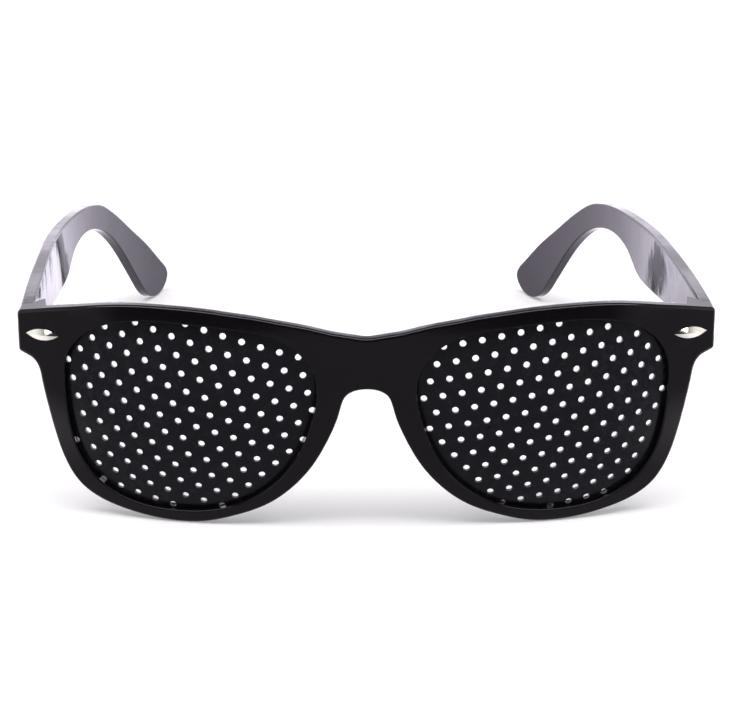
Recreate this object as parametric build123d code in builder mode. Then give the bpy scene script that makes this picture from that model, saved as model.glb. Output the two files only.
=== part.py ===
from build123d import *

import os
from math import atan2, cos, degrees, radians, sin, sqrt

# Pinhole glasses standing open on the undersides of their rims and on their temple tips.
# The origin is the nose saddle: the top of the arch between the rims, halfway through the bridge.
# +X runs across the front to the wearer's left, +Y back to the ears, +Z up.
# Left and right are the wearer's: the right side is at -X. Lengths are millimetres, angles degrees.

# Front: a moulding whose rims each follow a sphere, joined by a bridge
front_width = 144.0
front_height = 48.65
front_lean = 1.74  # the top leans away from the wearer
face_radius = 96.5  # the spheres that the front faces of the two rims follow
face_spread = 24.8  # from the middle to the centre of each of those spheres
front_thickness = 3.1
moulding_depth = 23.0  # from the foremost line of the front to behind the endpieces
eye_share = 0.4861  # level of the sphere centres, as a share of the height
saddle_share = 0.6612
edge_radius = 0.75
opening_edge_radius = 0.3
rear_edge_radius = 1.2
end_corner_radius = 0.9

# Endpieces: blocks behind the front's upper corners, with flat backs that meet the temples
endpiece_back = 16.0  # how far their backs lie behind the nose saddle
endpiece_inner_share = 0.925  # inner end of the back, as a share of half the width
endpiece_slope_run = 1.8
endpiece_floor_share = 0.6863

# Nose pads, moulded on the backs of the rims
pad_width = 3.0
pad_depth = 8.4  # from the foremost line of the front to the back of the pads
pad_top_share = (0.115, 0.5776)
pad_foot_share = (0.179, 0.3264)
pad_draft = 2.5
pad_edge_radius = 0.9

# Pinhole lenses: domed sheets with a hexagonal grid of round holes
lens_radius = 95.2
lens_thickness = 0.55
lens_recess = 1.3
lens_bite = 0.9  # how far the lens reaches into its groove
lens_clearance = 0.05
hole_radius = 0.68
hole_pitch = 3.954
hole_margin = 0.95  # from a hole's centre to the lens's edge, at least
right_grid_turn = 17.0
left_grid_turn = 10.8
right_grid_start = (10.95, 3.64)  # one hole's place along the dome, outwards and up from its centre
left_grid_start = (11.31, 3.50)

# Studs: pointed ovals with a ridge along them
stud_length = 7.6
stud_width = 2.3
stud_ridge = 0.7
stud_place_share = (0.9245, 0.8237)
stud_sink = 0.25
stud_clearance = 0.05
stud_pin_radius = 0.6
stud_pin_length = 2.0

# Hinges: a moulded knuckle on the front turns on a screw between two on the temple, whose head is below
hinge_inset = 2.8  # from the front's end to the hinge's axis
hinge_setback = 1.3  # from the endpiece's back to the hinge's axis
knuckle_radius = 1.6
knuckle_relief = 0.25
knuckle_gap = 0.15
front_knuckle_foot = 38.2  # heights above the table
front_knuckle_top = 41.4
barrel_foot = 35.8
barrel_top = 43.0
barrel_web = 4.0  # from the hinge's axis to where the temple's knuckles meet the blade
screw_radius = 0.5
screw_head_radius = 0.95
screw_head_height = 0.6
screw_head_sink = 0.3
screw_head_clearance = 0.1
screw_clearance = 0.05
screw_seat_gap = 0.05
screw_slot_width = 0.35
screw_slot_depth = 0.3
screw_end_gap = 0.6  # from the screw's end to the top of its hole

# Temples: flat blades, bent down behind the ears and curving inwards
temple_rise = 44.4  # top of the blade above the table, at the hinge
temple_reach = 127.0  # from the hinge to the furthest point of the tip
temple_thickness = 2.9
temple_splay = 4.0
shaft_run = 46.5  # the straight stretch, from the endpiece's back
outer_bend_radius = 155.0
inner_bend_radius = 158.0
bend_turn = 36.0
temple_gap = 0.3
temple_edge_radius = 0.45
right_fold = 0.0  # how far each temple is folded in as it stands
left_fold = 6.0

# One length that carries every cut past the material, and one for points that count as on a face
overrun = 5.0
touch = 0.01

# Upper and lower edges of the front, from the middle outwards: shares of half the width, and of the height
# above the undersides of the rims
brow_shares = (
    (0.0, 0.8794), (0.0413, 0.8872), (0.0891, 0.898), (0.1379, 0.9148), (0.1941, 0.9326),
    (0.2491, 0.9465), (0.3052, 0.9623), (0.3603, 0.9742), (0.4305, 0.9881), (0.4998, 0.9965),
    (0.5829, 1.0), (0.6392, 0.999), (0.6946, 0.9935), (0.7508, 0.9825), (0.7928, 0.9715),
    (0.8338, 0.959), (0.89, 0.9425), (0.9452, 0.9227), (1.0, 0.9021),
)
end_foot_shares = (1.0, 0.7295)
rim_shares = (
    (0.9601, 0.7113), (0.9415, 0.6805), (0.9347, 0.6361), (0.9227, 0.5294), (0.9027, 0.3759),
    (0.8766, 0.236), (0.8411, 0.1419), (0.7874, 0.0796), (0.7248, 0.0427), (0.6535, 0.0164),
    (0.5626, 0.0), (0.4706, 0.007), (0.386, 0.0428), (0.2916, 0.1034), (0.2195, 0.1881),
    (0.1467, 0.3256), (0.112, 0.4246), (0.0764, 0.5627), (0.0558, 0.6354), (0.0312, 0.6552),
    (0.0, saddle_share),
)
# Outline of the opening in each rim, in the same shares
opening_shares = (
    (0.861, 0.6438), (0.85, 0.4035), (0.807, 0.2251), (0.71, 0.1059), (0.5625, 0.0624),
    (0.393, 0.0975), (0.245, 0.2518), (0.157, 0.5123), (0.147, 0.7229), (0.219, 0.8504),
    (0.374, 0.9157), (0.533, 0.936), (0.702, 0.919), (0.798, 0.853), (0.848, 0.758),
)
opening_stations = 44  # points along that outline when it is moved outwards
# Side view of a temple, behind its hinge: shares of its reach, and of its height at the hinge
temple_top_shares = (
    (0.08, 0.996), (0.19, 0.989), (0.30, 0.968), (0.43, 0.934), (0.55, 0.903), (0.63, 0.879),
    (0.69, 0.848), (0.735, 0.807), (0.77, 0.750), (0.816, 0.655), (0.866, 0.534),
    (0.930, 0.369), (0.979, 0.212), (1.0, 0.106), (0.987, 0.038),
)
temple_foot_shares = (
    (0.955, 0.001), (0.919, 0.046), (0.888, 0.158), (0.855, 0.296), (0.820, 0.430), (0.777, 0.557),
    (0.73, 0.652), (0.68, 0.708), (0.625, 0.732), (0.575, 0.724), (0.532, 0.693),
    (0.496, 0.648), (0.462, 0.627), (0.41, 0.632), (0.316, 0.673), (0.22, 0.724), (0.12, 0.760),
)
temple_end_top_share = 0.991  # top and underside of the blade at the hinge
temple_end_foot_share = 0.775

# Sizes that follow
half_width = front_width / 2
eye_rise = eye_share * front_height
saddle_rise = saddle_share * front_height - eye_rise
rear_radius = face_radius - front_thickness
lens_centre_depth = lens_recess + lens_radius
hinge_x = half_width - hinge_inset
hinge_y = endpiece_back + hinge_setback
end_x_limit = half_width * (1 + end_foot_shares[0]) / 2 - end_corner_radius
head_top = barrel_foot + screw_head_sink + screw_head_height

# The eye plane stands against the foremost line of the front: x across, y up, z towards the viewer
lean = radians(front_lean)
saddle_plane = Plane(origin=(0, 0, 0), x_dir=(1, 0, 0), z_dir=(0, -cos(lean), -sin(lean)))
eye_plane = Plane(
    origin=saddle_plane.from_local_coords((0, -saddle_rise, front_thickness / 2)),
    x_dir=saddle_plane.x_dir,
    z_dir=saddle_plane.z_dir,
)
# The plan plane looks down on it: x across, y the depth behind the foremost line
plan_plane = Plane(origin=eye_plane.origin, x_dir=eye_plane.x_dir, z_dir=eye_plane.y_dir)


def face_depth(across, up):
    """Depth of the front's face behind its foremost line."""
    past = max(abs(across) - face_spread, 0)
    return face_radius - sqrt(face_radius**2 - past**2 - up**2)


def front_point(share):
    """A point of the eye plane from its shares of the front's size."""
    return (share[0] * half_width, share[1] * front_height - eye_rise)


# Level of the table under the rims
rim_foot = front_point((rim_shares[10][0], 0))
table_z = eye_plane.from_local_coords((rim_foot[0], rim_foot[1], -face_depth(*rim_foot))).Z


def side_points(shares, side):
    """Points of the eye plane for a row of shares, on one side of the middle."""
    points = [front_point(share) for share in shares]
    return [(side * point[0], point[1]) for point in points]


def capsule_profile(radius, depth):
    """Half outline of a lying capsule, whose face is at the depth and whose ends are the rims' spheres."""
    centre = depth + radius
    bulge = radius * sin(radians(45))
    with BuildLine() as profile:
        Line((face_spread, depth), (-face_spread, depth))
        ThreePointArc(
            (-face_spread, depth), (-face_spread - bulge, centre - bulge), (-face_spread - radius, centre)
        )
        Line((-face_spread - radius, centre), (face_spread + radius, centre))
        ThreePointArc((face_spread + radius, centre), (face_spread + bulge, centre - bulge), (face_spread, depth))
    make_face(profile.edges())


def capsule_axis(radius, depth):
    """Long axis of that capsule."""
    return Axis(plan_plane.from_local_coords((0, depth + radius, 0)), plan_plane.x_dir)


def opening_outline(side, growth):
    """Outline of a rim's opening, moved outwards by the growth."""
    with BuildLine():
        opening = Spline(*side_points(opening_shares, side), periodic=True)
    points = []
    for index in range(opening_stations):
        along = opening % (index / opening_stations)
        outwards = Vector(-side * along.Y, side * along.X)
        points.append(opening @ (index / opening_stations) + outwards * growth)
    with BuildLine() as outline:
        Spline(*points, periodic=True)
    make_face(outline.edges())


def stud_plane(side):
    """The plane that touches the front's face under a stud, with x along the stud."""
    across, up = front_point(stud_place_share)
    past = across - face_spread
    ahead = sqrt(face_radius**2 - past**2 - up**2)
    outwards = eye_plane.x_dir * (side * past) + eye_plane.y_dir * up + eye_plane.z_dir * ahead
    place = eye_plane.from_local_coords((side * across, up, -face_depth(across, up)))
    return Plane(origin=place, x_dir=eye_plane.x_dir, z_dir=outwards)


def stud_dome(growth, sink):
    """The common part of two spheres: a pointed oval with a ridge, cut off below its base plane."""
    half_length = stud_length / 2 + growth
    half_span = stud_width / 2 + growth
    ridge = stud_ridge + growth
    drop = (half_length**2 / ridge - ridge) / 2
    aside = (half_length**2 - half_span**2) / (2 * half_span)
    radius = sqrt(half_length**2 + drop**2 + aside**2)
    with Locations((0, aside, -drop)):
        Sphere(radius)
    with Locations((0, -aside, -drop)):
        Sphere(radius, mode=Mode.INTERSECT)
    with Locations((0, 0, -sink)):
        Box(2 * radius, 2 * radius, radius, align=(Align.CENTER, Align.CENTER, Align.MIN), mode=Mode.INTERSECT)


def on_face(edge):
    """Whether an edge lies in the front's face."""
    place = eye_plane.to_local_coords(edge @ 0.5)
    return abs(face_depth(place.X, place.Y) + place.Z) < touch


def on_back(edge):
    """Whether an edge lies in the back of the rims, clear of the endpieces."""
    place = eye_plane.to_local_coords(edge @ 0.5)
    past = max(abs(place.X) - face_spread, 0)
    depth = face_radius - sqrt(max(rear_radius**2 - past**2 - place.Y**2, 0))
    return abs(depth + place.Z) < touch


def hinge_plane(side, rise, fold=0):
    """A level plane on a hinge's axis at a height above the table, turned with the temple's fold."""
    turn = radians(side * fold)
    return Plane(origin=(side * hinge_x, hinge_y, table_z + rise), x_dir=(cos(turn), sin(turn), 0))


def grid_planes(side, turn, start, field):
    """Planes on the dome of a lens, one for each hole whose centre lies in the field."""
    planes = []
    reach = round(half_width / hole_pitch)
    along = radians(turn)
    slant = radians(turn + 60)
    for row in range(-reach, reach + 1):
        for column in range(-reach, reach + 1):
            out = start[0] - hole_pitch * (row * cos(along) + column * cos(slant))
            up = start[1] - hole_pitch * (row * sin(along) + column * sin(slant))
            across = side * lens_radius * sin(out / lens_radius)
            rise = lens_radius * sin(up / lens_radius)
            if field.is_inside((side * face_spread + across, rise, 0)):
                ahead = sqrt(lens_radius**2 - across**2 - rise**2)
                place = (side * face_spread + across, rise, ahead - lens_centre_depth)
                planes.append(Plane(origin=place, z_dir=(across, rise, ahead)))
    return planes


# Space behind the rims and the bridge, up to the endpieces
with BuildPart() as rear_space:
    with BuildSketch(plan_plane):
        capsule_profile(rear_radius, front_thickness)
    revolve(axis=capsule_axis(rear_radius, front_thickness))
    endpiece_floor = front_point((0, endpiece_floor_share))[1]
    endpiece_inner = endpiece_inner_share * half_width
    for side in (-1, 1):
        with BuildSketch(plan_plane.offset(endpiece_floor)):
            with BuildLine():
                Polyline(
                    (side * (endpiece_inner - endpiece_slope_run), 0),
                    (side * (endpiece_inner - endpiece_slope_run), face_depth(endpiece_inner, 0)),
                    (side * endpiece_inner, moulding_depth - overrun),
                    (side * endpiece_inner, moulding_depth + overrun),
                    (side * (half_width + overrun), moulding_depth + overrun),
                    (side * (half_width + overrun), 0),
                    close=True,
                )
            make_face()
        extrude(amount=front_height, mode=Mode.SUBTRACT)

# What the front takes on each side: a groove for the lens, a socket for the stud and a nose pad
lens_grooves = {}
stud_sockets = {}
nose_pads = {}
for side in (-1, 1):
    with BuildPart(eye_plane) as groove:
        with BuildSketch(eye_plane):
            opening_outline(side, lens_bite + lens_clearance)
        extrude(amount=-moulding_depth)
        with Locations((side * face_spread, 0, -lens_centre_depth)):
            Sphere(lens_radius + lens_clearance, mode=Mode.INTERSECT)
            Sphere(lens_radius - lens_thickness - lens_clearance, mode=Mode.SUBTRACT)
    lens_grooves[side] = groove.part

    with BuildPart(stud_plane(side)) as socket:
        stud_dome(stud_clearance, stud_sink + stud_clearance)
        with Locations((0, 0, -stud_sink)):
            Cylinder(
                stud_pin_radius + stud_clearance,
                stud_pin_length + stud_clearance,
                align=(Align.CENTER, Align.CENTER, Align.MAX),
            )
    stud_sockets[side] = socket.part

    with BuildPart() as pad:
        top, foot = [Vector(*point) for point in side_points((pad_top_share, pad_foot_share), side)]
        with BuildSketch(eye_plane.offset(-front_thickness / 2)):
            with Locations((top + foot) / 2):
                SlotOverall(
                    (top - foot).length + pad_width,
                    pad_width,
                    rotation=degrees(atan2(top.Y - foot.Y, top.X - foot.X)),
                )
        extrude(amount=front_thickness / 2 - pad_depth, taper=pad_draft)
        end = pad.faces().sort_by(Axis.Y)[-1]
        fillet(end.edges(), radius=pad_edge_radius)
    nose_pads[side] = pad.part

# Front
with BuildPart() as front_frame:
    with BuildSketch(eye_plane.offset(overrun)):
        with BuildLine():
            brow = Spline(*side_points(brow_shares[:0:-1], -1), *side_points(brow_shares, 1))
            rim = Spline(*side_points(rim_shares, 1), *side_points(rim_shares[-2::-1], -1))
            Polyline(brow @ 1, *side_points([end_foot_shares], 1), rim @ 0)
            Polyline(brow @ 0, *side_points([end_foot_shares], -1), rim @ 1)
        make_face()
    extrude(amount=-(overrun + moulding_depth))
    ends = front_frame.edges().filter_by(lambda edge: abs(edge.center().X) > end_x_limit)
    fillet(ends.filter_by(Axis((0, 0, 0), eye_plane.z_dir)), radius=end_corner_radius)
    with BuildSketch(plan_plane):
        capsule_profile(face_radius, 0)
    revolve(axis=capsule_axis(face_radius, 0), mode=Mode.INTERSECT)
    fillet(front_frame.edges().filter_by(on_face), radius=edge_radius)
    add(rear_space.part, mode=Mode.SUBTRACT)
    split(bisect_by=Plane(origin=(0, endpiece_back, 0), z_dir=(0, 1, 0)), keep=Keep.BOTTOM)
    rear_edges = front_frame.edges().filter_by(on_back).filter_by(lambda edge: edge.length > moulding_depth)
    fillet(rear_edges, radius=rear_edge_radius)
    for side in (-1, 1):
        add(nose_pads[side])
        with BuildSketch(eye_plane.offset(overrun)):
            opening_outline(side, 0)
        extrude(amount=-(overrun + moulding_depth), mode=Mode.SUBTRACT)
        fillet(front_frame.edges(Select.LAST).filter_by(on_face), radius=opening_edge_radius)
        add(lens_grooves[side], mode=Mode.SUBTRACT)
        add(stud_sockets[side], mode=Mode.SUBTRACT)
        with BuildSketch(hinge_plane(side, -overrun)):
            Circle(knuckle_radius + knuckle_relief)
        extrude(amount=temple_rise + 2 * overrun, mode=Mode.SUBTRACT)
        with BuildSketch(hinge_plane(side, front_knuckle_foot)):
            Circle(knuckle_radius)
            Rectangle(2 * knuckle_radius, hinge_setback + knuckle_radius, align=(Align.CENTER, Align.MAX))
            Circle(screw_radius + screw_clearance, mode=Mode.SUBTRACT)
        extrude(amount=front_knuckle_top - front_knuckle_foot)
front_frame.part.label = "front_frame"

# Pieces that come in pairs
names = {-1: "right", 1: "left"}
grids = {-1: (right_grid_turn, right_grid_start), 1: (left_grid_turn, left_grid_start)}
folds = {-1: right_fold, 1: left_fold}
pieces = [front_frame.part]
for side in (-1, 1):
    with BuildSketch() as hole_field:
        opening_outline(side, lens_bite - hole_margin)
    with BuildPart(eye_plane) as lens:
        with BuildSketch(eye_plane):
            opening_outline(side, lens_bite)
        extrude(amount=-moulding_depth)
        with Locations((side * face_spread, 0, -lens_centre_depth)):
            Sphere(lens_radius, mode=Mode.INTERSECT)
            Sphere(lens_radius - lens_thickness, mode=Mode.SUBTRACT)
        with Locations(*grid_planes(side, *grids[side], hole_field.sketch.faces()[0])):
            Cylinder(hole_radius, 2 * overrun, mode=Mode.SUBTRACT)
    lens.part.label = names[side] + "_lens"
    pieces.append(lens.part)

    with BuildPart(stud_plane(side)) as stud:
        stud_dome(0, stud_sink)
        with Locations((0, 0, -stud_sink)):
            Cylinder(stud_pin_radius, stud_pin_length, align=(Align.CENTER, Align.CENTER, Align.MAX))
    stud.part.label = names[side] + "_stud"
    pieces.append(stud.part)

    # The temple is drawn from above and from the side, on the plane under its hinge
    ground = hinge_plane(side, 0, folds[side])
    side_view = Plane(origin=ground.origin, x_dir=ground.y_dir, z_dir=ground.x_dir)
    end = hinge_setback - temple_gap
    splay = radians(temple_splay)
    with BuildPart() as temple:
        with BuildSketch(ground.offset(-overrun)):
            with BuildLine():
                outer_start = (side * hinge_inset, -end)
                inner_start = (side * (hinge_inset - temple_thickness), -end)
                run = (side * shaft_run * sin(splay), shaft_run * cos(splay))
                outer = Line(outer_start, (outer_start[0] + run[0], outer_start[1] + run[1]))
                inner = Line(inner_start, (inner_start[0] + run[0], inner_start[1] + run[1]))
                outer_bend = JernArc(outer @ 1, outer % 1, outer_bend_radius, side * bend_turn)
                inner_bend = JernArc(inner @ 1, inner % 1, inner_bend_radius, side * bend_turn)
                Line(outer @ 0, inner @ 0)
                Line(outer_bend @ 1, inner_bend @ 1)
            make_face()
        extrude(amount=temple_rise + 2 * overrun)
        with BuildSketch(side_view):
            with BuildLine():
                points = [
                    (share[0] * temple_reach, share[1] * temple_rise)
                    for share in (*temple_top_shares, *temple_foot_shares)
                ]
                blade = Spline(
                    (-end, temple_end_top_share * temple_rise),
                    *points,
                    (-end, temple_end_foot_share * temple_rise),
                )
                Line(blade @ 0, blade @ 1)
            make_face()
        extrude(amount=half_width, both=True, mode=Mode.INTERSECT)
        fillet(temple.edges().filter_by(lambda edge: edge.length > shaft_run / 2), radius=temple_edge_radius)
        with BuildSketch(hinge_plane(side, barrel_foot, folds[side])):
            Circle(knuckle_radius)
            with BuildLine():
                inner_web = side * (hinge_inset - temple_thickness + (end + barrel_web) * sin(splay))
                Polyline(
                    (-side * knuckle_radius, 0), (inner_web, barrel_web),
                    (side * knuckle_radius, barrel_web), (side * knuckle_radius, 0), close=True,
                )
            make_face()
        extrude(amount=barrel_top - barrel_foot)
        # Room for the front's knuckle
        with BuildSketch(hinge_plane(side, front_knuckle_foot - knuckle_gap, folds[side])):
            Circle(knuckle_radius + knuckle_relief)
            Rectangle(2 * (knuckle_radius + knuckle_relief), overrun, align=(Align.CENTER, Align.MAX))
        extrude(amount=front_knuckle_top - front_knuckle_foot + 2 * knuckle_gap, mode=Mode.SUBTRACT)
        with BuildSketch(hinge_plane(side, barrel_foot - overrun)):
            Circle(screw_radius + screw_clearance)
        extrude(amount=temple_rise, mode=Mode.SUBTRACT)
        with BuildSketch(hinge_plane(side, head_top + screw_seat_gap)):
            Circle(screw_head_radius + screw_head_clearance)
        extrude(amount=-overrun, mode=Mode.SUBTRACT)
    temple.part.label = names[side] + "_temple"
    pieces.append(temple.part)

    with BuildPart() as screw:
        with BuildSketch(hinge_plane(side, head_top)):
            Circle(screw_radius)
        extrude(amount=barrel_top - screw_end_gap - head_top)
        with BuildSketch(hinge_plane(side, head_top)):
            Circle(screw_head_radius)
        extrude(amount=-screw_head_height)
        with BuildSketch(hinge_plane(side, head_top - screw_head_height)):
            Rectangle(2 * overrun, screw_slot_width)
        extrude(amount=screw_slot_depth, mode=Mode.SUBTRACT)
    screw.part.label = names[side] + "_hinge_screw"
    pieces.append(screw.part)

os.makedirs("parts", exist_ok=True)
for piece in pieces:
    export_step(piece, "parts/" + piece.label + ".step")
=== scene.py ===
from math import cos, radians, sin

import bpy
from mathutils import Matrix, Vector


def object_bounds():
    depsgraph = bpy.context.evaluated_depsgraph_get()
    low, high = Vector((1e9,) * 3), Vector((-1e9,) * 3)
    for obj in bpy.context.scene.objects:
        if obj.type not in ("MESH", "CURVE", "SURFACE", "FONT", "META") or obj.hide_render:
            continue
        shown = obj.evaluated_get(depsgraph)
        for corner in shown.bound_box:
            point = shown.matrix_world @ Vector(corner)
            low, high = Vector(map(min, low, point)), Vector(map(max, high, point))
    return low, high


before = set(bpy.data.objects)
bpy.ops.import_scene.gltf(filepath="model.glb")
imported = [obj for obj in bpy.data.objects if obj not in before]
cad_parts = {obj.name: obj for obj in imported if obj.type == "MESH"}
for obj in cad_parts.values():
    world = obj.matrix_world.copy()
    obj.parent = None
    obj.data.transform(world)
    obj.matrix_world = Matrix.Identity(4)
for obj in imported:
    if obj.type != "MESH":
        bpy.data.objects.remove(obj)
cad_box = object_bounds()

# Camera at the photograph's place: metres and degrees, and the focal length in the photograph's pixels
photo_width_px = 729
focal_px = 1712.331
camera_place = (-0.001014, -0.316468, 0.139412)
camera_pitch = 22.858
camera_yaw = 0.103
camera_roll = -0.17
sensor_width = 36.0
near_clip = 0.01

# Floor: white paper, metres
floor_reach = 3.0
floor_drop = 0.00002  # below the lowest point of the object
paper_scale = 3.0
paper_levels = [(0.3, 0.79), (0.7, 0.80)]
paper_roughness = 0.5
camera_glow = 0.24  # what the camera sees of the paper beyond its lit colour, so that it is white
# In reflections the paper is a painted glow, brighter towards the back and beside the endpieces
mirror_span = (-0.10, 0.20)  # from the front to the back
mirror_levels = [
    (0.37, (0.205, 0.195, 0.215)), (0.50, (0.46, 0.44, 0.49)), (0.66, (0.52, 0.50, 0.55)),
    (0.83, (0.90, 0.85, 0.98)),
]
mirror_strength = 2.0
beside_depths = [(0.24, 0.0), (0.31, 1.0), (0.40, 1.0), (0.50, 0.0)]
beside_span = (0.07, 0.10)  # from the middle outwards
beside_colour = (0.60, 0.58, 0.60, 1)

# Studio: levels by the height of a direction, behind the object and on the camera's side
studio_strength = 4.6
back_levels = [
    (0.0, (0.66, 0.63, 0.70)), (0.10, (0.60, 0.57, 0.64)), (0.18, (0.34, 0.32, 0.36)),
    (0.25, (0.34, 0.32, 0.36)), (0.32, (0.62, 0.60, 0.65)), (0.38, (0.62, 0.60, 0.65)),
    (0.44, (0.08, 0.08, 0.085)), (1.0, (0.05, 0.05, 0.053)),
]
fore_levels = [(0.0, 0.03), (0.06, 0.006), (1.0, 0.006)]
back_span = (-0.25, 0.35)
side_span = (0.62, 0.85)
side_colour = (0.22, 0.22, 0.22, 1)
seen_colour = (0.22, 0.22, 0.22, 1)
# The long lamp overhead runs across, a little in front of the zenith
lamp_direction = (0.0, -0.1908, 0.9816)
lamp_edge = (0.962, 0.982)  # cosine of the angle across the lamp, from dark to bright
lamp_end = (0.68, 0.62)
lamp_colour = (1.2, 1.16, 1.2, 1)

# Textures of the mouldings: scales are features in a metre, spans are where a pattern's values turn, and
# depths are metres
patch_scale = 90.0
patch_span = (0.3, 0.7)
haze_scale = 240.0
haze_span = (0.35, 0.75)
edge_span = (0.54, 0.64)
rub_scale = 700.0
rub_span = (0.42, 0.62)
rubbed_colour = (0.045, 0.043, 0.046, 1)
rubbed_share = 0.2
rubbed_dulling = 0.08
scratch_turn = (0.4, 0.9, 0.5)
scratch_scales = (25.0, 1100.0, 1100.0)
scratch_span = (0.75, 0.80)
scratch_dulling = 0.06
fibre_scale = 3000.0
fibre_span = (0.3, 0.7)
cut_limit = 0.6  # in the walls of the punched holes the normal's Y part is below this
cut_dulling = 0.3
wave_depth = 0.001
grain_depth = 0.0001
moulding_ior = 1.5
# Textures of the metal, in the same units
stain_scale = 900.0
stain_span = (0.35, 0.8)
stain_share = 0.86
polish_scale = 2500.0
polish_span = (0.3, 0.8)
brush_depth = 0.00005
brush_strength = 0.12


def tree(owner):
    """The node tree of a material or world, emptied."""
    owner.use_nodes = True
    owner.node_tree.nodes.clear()
    return owner.node_tree


def add(nt, kind, inputs=None, **settings):
    """A node with its settings and socket values, or links from other nodes' sockets."""
    node = nt.nodes.new(kind)
    for key, value in settings.items():
        setattr(node, key, value)
    for key, value in (inputs or {}).items():
        if isinstance(value, bpy.types.NodeSocket):
            nt.links.new(value, node.inputs[key])
        else:
            node.inputs[key].default_value = value
    return node


def noise(nt, place, scale, detail=3.0, rough=0.5):
    """A noise pattern, from 0 to 1."""
    inputs = {"Vector": place, "Scale": scale, "Detail": detail, "Roughness": rough}
    return add(nt, "ShaderNodeTexNoise", inputs).outputs["Fac"]


def ramp(nt, value, stops):
    """Grey levels or colours along a value: stops are (place, level)."""
    node = add(nt, "ShaderNodeValToRGB", {"Fac": value})
    element = node.color_ramp.elements
    while len(element) < len(stops):
        element.new(0.5)
    for item, (place, level) in zip(element, stops):
        item.position = place
        item.color = (*level, 1) if isinstance(level, tuple) else (level, level, level, 1)
    return node.outputs["Color"]


def between(nt, value, span, ends):
    """One grey level or colour up to a span of the value, and another one past it."""
    return ramp(nt, value, list(zip(span, ends)))


def rise(nt, value, span):
    """How far a value is along a span, from 0 to 1."""
    inputs = {"Value": value, "From Min": span[0], "From Max": span[1]}
    return add(nt, "ShaderNodeMapRange", inputs).outputs["Result"]


def maths(nt, operation, *values):
    """A sum, product or the like of one or two values."""
    return add(nt, "ShaderNodeMath", dict(enumerate(values)), operation=operation).outputs[0]


def vector_maths(nt, operation, *values):
    """The outputs of a sum, product or the like of one or two vectors."""
    return add(nt, "ShaderNodeVectorMath", dict(enumerate(values)), operation=operation).outputs


def blend(nt, share, a, b):
    """A colour that goes from a to b with the share."""
    return add(nt, "ShaderNodeMix", {"Factor": share, "A": a, "B": b}, data_type="RGBA").outputs["Result"]


def finish(nt, shader, kind="ShaderNodeOutputMaterial"):
    """The tree's output, fed by a shader."""
    nt.links.new(shader.outputs[0], add(nt, kind).inputs["Surface"])


def moulded_plastic(name, colours, shine, gloss, waves, grain, tint, cut=None):
    """Polished moulded plastic: waves from the mould, fine grain, faint scratches and rubbed edges."""
    material = bpy.data.materials.new(name)
    nt = tree(material)
    coords = add(nt, "ShaderNodeTexCoord").outputs
    place = coords["Object"]
    plain = between(nt, noise(nt, place, patch_scale, 4.0), patch_span, colours)
    # Rubbed edges are a little paler and duller
    edge = between(nt, add(nt, "ShaderNodeNewGeometry").outputs["Pointiness"], edge_span, (0.0, 1.0))
    broken = between(nt, noise(nt, place, rub_scale, 2.0), rub_span, (0.0, 1.0))
    wear = maths(nt, "MULTIPLY", edge, broken)
    colour = blend(nt, maths(nt, "MULTIPLY", wear, rubbed_share), plain, rubbed_colour)
    # Scratches are thin lines of a stretched noise
    turned = {"Vector": place, "Rotation": scratch_turn, "Scale": scratch_scales}
    lines = add(nt, "ShaderNodeMapping", turned).outputs[0]
    scratch = between(nt, noise(nt, lines, 1.0, 1.0), scratch_span, (0.0, 1.0))
    rough = between(nt, noise(nt, place, haze_scale, 5.0, 0.6), haze_span, gloss)
    rough = maths(nt, "ADD", rough, maths(nt, "MULTIPLY", scratch, scratch_dulling))
    rough = maths(nt, "ADD", rough, maths(nt, "MULTIPLY", wear, rubbed_dulling))
    if cut:
        # The walls of the punched holes are paler and matt
        facing = add(nt, "ShaderNodeSeparateXYZ", {"Vector": coords["Normal"]}).outputs["Y"]
        wall = maths(nt, "LESS_THAN", maths(nt, "ABSOLUTE", facing), cut_limit)
        pale = between(nt, noise(nt, place, fibre_scale), fibre_span, cut)
        colour = blend(nt, wall, colour, pale)
        rough = maths(nt, "ADD", rough, maths(nt, "MULTIPLY", wall, cut_dulling))
    slow = noise(nt, place, waves[0], 4.0)
    wave = add(nt, "ShaderNodeBump", {"Strength": waves[1], "Distance": wave_depth, "Height": slow})
    fine = noise(nt, place, grain[0], 2.0)
    bump = add(nt, "ShaderNodeBump", {
        "Strength": grain[1], "Distance": grain_depth, "Height": fine, "Normal": wave.outputs[0],
    })
    finish(nt, add(nt, "ShaderNodeBsdfPrincipled", {
        "Base Color": colour, "Roughness": rough, "IOR": moulding_ior, "Specular IOR Level": shine,
        "Specular Tint": tint, "Normal": bump.outputs[0],
    }))
    return material


def bright_metal(name, colour, gloss, brush):
    """Plated or turned metal with fine lines, a stained patch here and there and a little grime."""
    material = bpy.data.materials.new(name)
    nt = tree(material)
    place = add(nt, "ShaderNodeTexCoord").outputs["Object"]
    stained = tuple(stain_share * channel for channel in colour)
    tone = between(nt, noise(nt, place, stain_scale, 4.0), stain_span, (colour, stained))
    rough = between(nt, noise(nt, place, polish_scale), polish_span, gloss)
    lines = add(nt, "ShaderNodeMapping", {"Vector": place, "Scale": brush}).outputs[0]
    bump = add(nt, "ShaderNodeBump", {
        "Strength": brush_strength, "Distance": brush_depth, "Height": noise(nt, lines, 1.0, 2.0),
    })
    finish(nt, add(nt, "ShaderNodeBsdfPrincipled", {
        "Base Color": tone, "Roughness": rough, "Metallic": 1.0, "Normal": bump.outputs[0],
    }))
    return material


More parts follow.
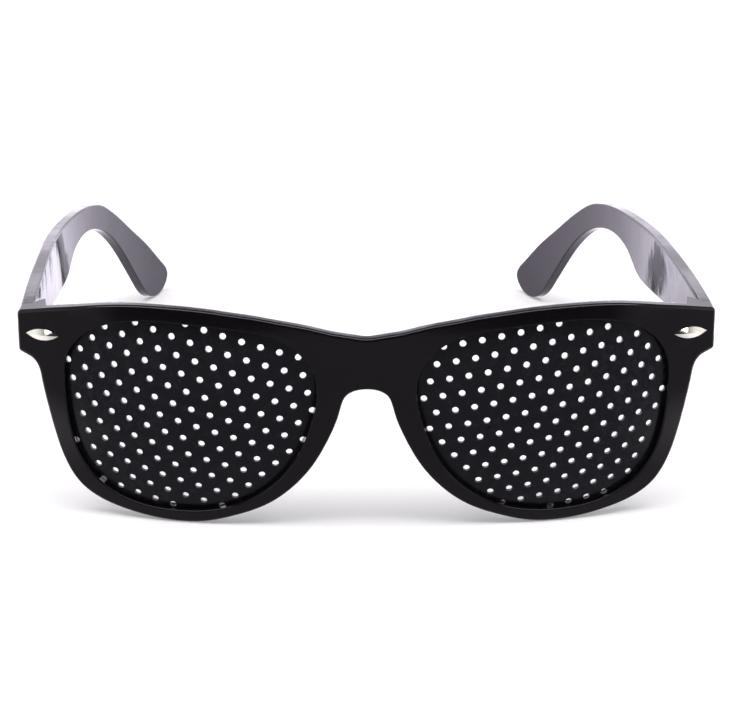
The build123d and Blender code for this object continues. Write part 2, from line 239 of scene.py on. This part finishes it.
def paper_floor():
    """The floor's material: lit paper, a little brighter to the camera, and an uneven painted glow in
    reflections.
    """
    material = bpy.data.materials.new("floor_paper")
    nt = tree(material)
    place = add(nt, "ShaderNodeTexCoord").outputs["Object"]
    rays = add(nt, "ShaderNodeLightPath").outputs
    tone = ramp(nt, noise(nt, place, paper_scale), paper_levels)
    matt = add(nt, "ShaderNodeBsdfDiffuse", {"Color": tone, "Roughness": paper_roughness})
    lift = maths(nt, "MULTIPLY", rays["Is Camera Ray"], camera_glow)
    glow = add(nt, "ShaderNodeEmission", {"Strength": lift})
    direct = add(nt, "ShaderNodeAddShader", {0: matt.outputs[0], 1: glow.outputs[0]})
    spot = add(nt, "ShaderNodeSeparateXYZ", {"Vector": place}).outputs
    depth = rise(nt, spot["Y"], mirror_span)
    outwards = rise(nt, maths(nt, "ABSOLUTE", spot["X"]), beside_span)
    beside = maths(nt, "MULTIPLY", ramp(nt, depth, beside_depths), outwards)
    mirror = blend(nt, beside, ramp(nt, depth, mirror_levels), beside_colour)
    # Painted reflection: glossy rays see a glow set by depth and beside the endpieces, not lit paper
    painted_reflection = add(nt, "ShaderNodeEmission", {"Color": mirror, "Strength": mirror_strength})
    finish(nt, add(nt, "ShaderNodeMixShader", {
        0: rays["Is Glossy Ray"], 1: direct.outputs[0], 2: painted_reflection.outputs[0],
    }))
    return material


def lay_floor():
    """A wide white floor, just under the object."""
    level = cad_box[0][2] - floor_drop
    corners = [(-1, -1), (1, -1), (1, 1), (-1, 1)]
    mesh = bpy.data.meshes.new("floor")
    mesh.from_pydata([(x * floor_reach, y * floor_reach, level) for x, y in corners], [], [(0, 1, 2, 3)])
    mesh.materials.append(paper_floor())
    floor = bpy.data.objects.new("floor", mesh)
    bpy.context.collection.objects.link(floor)


def light_studio():
    """A white studio: bright low behind the object, a long lamp above it, and dark at the camera."""
    world = bpy.data.worlds.new("studio")
    bpy.context.scene.world = world
    nt = tree(world)
    way = add(nt, "ShaderNodeTexCoord").outputs["Generated"]
    parts = add(nt, "ShaderNodeSeparateXYZ", {"Vector": way}).outputs
    aside = maths(nt, "ABSOLUTE", parts["X"])
    fore = ramp(nt, parts["Z"], fore_levels)
    back = ramp(nt, parts["Z"], back_levels)
    level = blend(nt, rise(nt, parts["Y"], back_span), fore, back)
    level = blend(nt, rise(nt, aside, side_span), level, side_colour)
    # The lamp follows the angle of the direction's side view
    side_view = vector_maths(nt, "NORMALIZE", vector_maths(nt, "MULTIPLY", way, (0.0, 1.0, 1.0))["Vector"])
    facing = vector_maths(nt, "DOT_PRODUCT", side_view["Vector"], lamp_direction)
    across = rise(nt, facing["Value"], lamp_edge)
    lamp = maths(nt, "MULTIPLY", across, rise(nt, aside, lamp_end))
    level = blend(nt, lamp, level, lamp_colour)
    seen = add(nt, "ShaderNodeLightPath").outputs["Is Camera Ray"]
    sky = {"Color": blend(nt, seen, level, seen_colour), "Strength": studio_strength}
    finish(nt, add(nt, "ShaderNodeBackground", sky), "ShaderNodeOutputWorld")


def place_camera():
    """The camera, turned by its pitch, yaw and roll."""
    pitch, yaw, roll = radians(camera_pitch), radians(camera_yaw), radians(camera_roll)
    ahead = Vector((sin(yaw) * cos(pitch), cos(yaw) * cos(pitch), -sin(pitch)))
    right = Vector((cos(yaw), -sin(yaw), 0))
    up = right.cross(ahead)
    turned_right = right * cos(roll) + up * sin(roll)
    turned_up = up * cos(roll) - right * sin(roll)
    turn = Matrix((turned_right, turned_up, -ahead)).transposed().to_4x4()
    lens = bpy.data.cameras.new("camera")
    lens.sensor_width = sensor_width
    lens.lens = sensor_width * focal_px / photo_width_px
    lens.clip_start = near_clip
    camera = bpy.data.objects.new("camera", lens)
    bpy.context.collection.objects.link(camera)
    camera.matrix_world = Matrix.Translation(camera_place) @ turn
    bpy.context.scene.camera = camera


# Colours are (darker, lighter), gloss is a range of roughness, waves and grain are (scale, strength)
frame_plastic = moulded_plastic(
    "frame_plastic",
    colours=((0.0036, 0.0031, 0.0038), (0.0046, 0.0040, 0.0048)),
    shine=0.3, gloss=(0.05, 0.09), waves=(60.0, 0.06), grain=(2600.0, 0.08), tint=(1.0, 0.93, 1.0, 1),
)
temple_plastic = moulded_plastic(
    "temple_plastic",
    colours=((0.0110, 0.0096, 0.0122), (0.0135, 0.0118, 0.0150)),
    shine=0.34, gloss=(0.03, 0.07), waves=(45.0, 0.24), grain=(2200.0, 0.06), tint=(0.97, 0.88, 1.0, 1),
)
screen_plastic = moulded_plastic(
    "screen_plastic",
    colours=((0.0044, 0.0042, 0.0060), (0.0056, 0.0053, 0.0075)),
    shine=0.27, gloss=(0.17, 0.21), waves=(80.0, 0.04), grain=(3800.0, 0.12), tint=(0.95, 0.93, 1.0, 1),
    cut=((0.16, 0.16, 0.17), (0.24, 0.24, 0.25)),
)
stud_metal = bright_metal(
    "stud_metal", (0.95, 0.91, 0.83), gloss=(0.04, 0.09), brush=(900.0, 6000.0, 6000.0),
)
screw_steel = bright_metal(
    "screw_steel", (0.52, 0.52, 0.53), gloss=(0.22, 0.34), brush=(2600.0, 2600.0, 300.0),
)

finishes = {"front_frame": frame_plastic}
for side in ("right", "left"):
    finishes[side + "_lens"] = screen_plastic
    finishes[side + "_temple"] = temple_plastic
    finishes[side + "_stud"] = stud_metal
    finishes[side + "_hinge_screw"] = screw_steel
for name, material in finishes.items():
    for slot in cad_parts[name].material_slots:
        slot.material = material

lay_floor()
light_studio()
place_camera()
bpy.context.scene.view_settings.view_transform = "Standard"
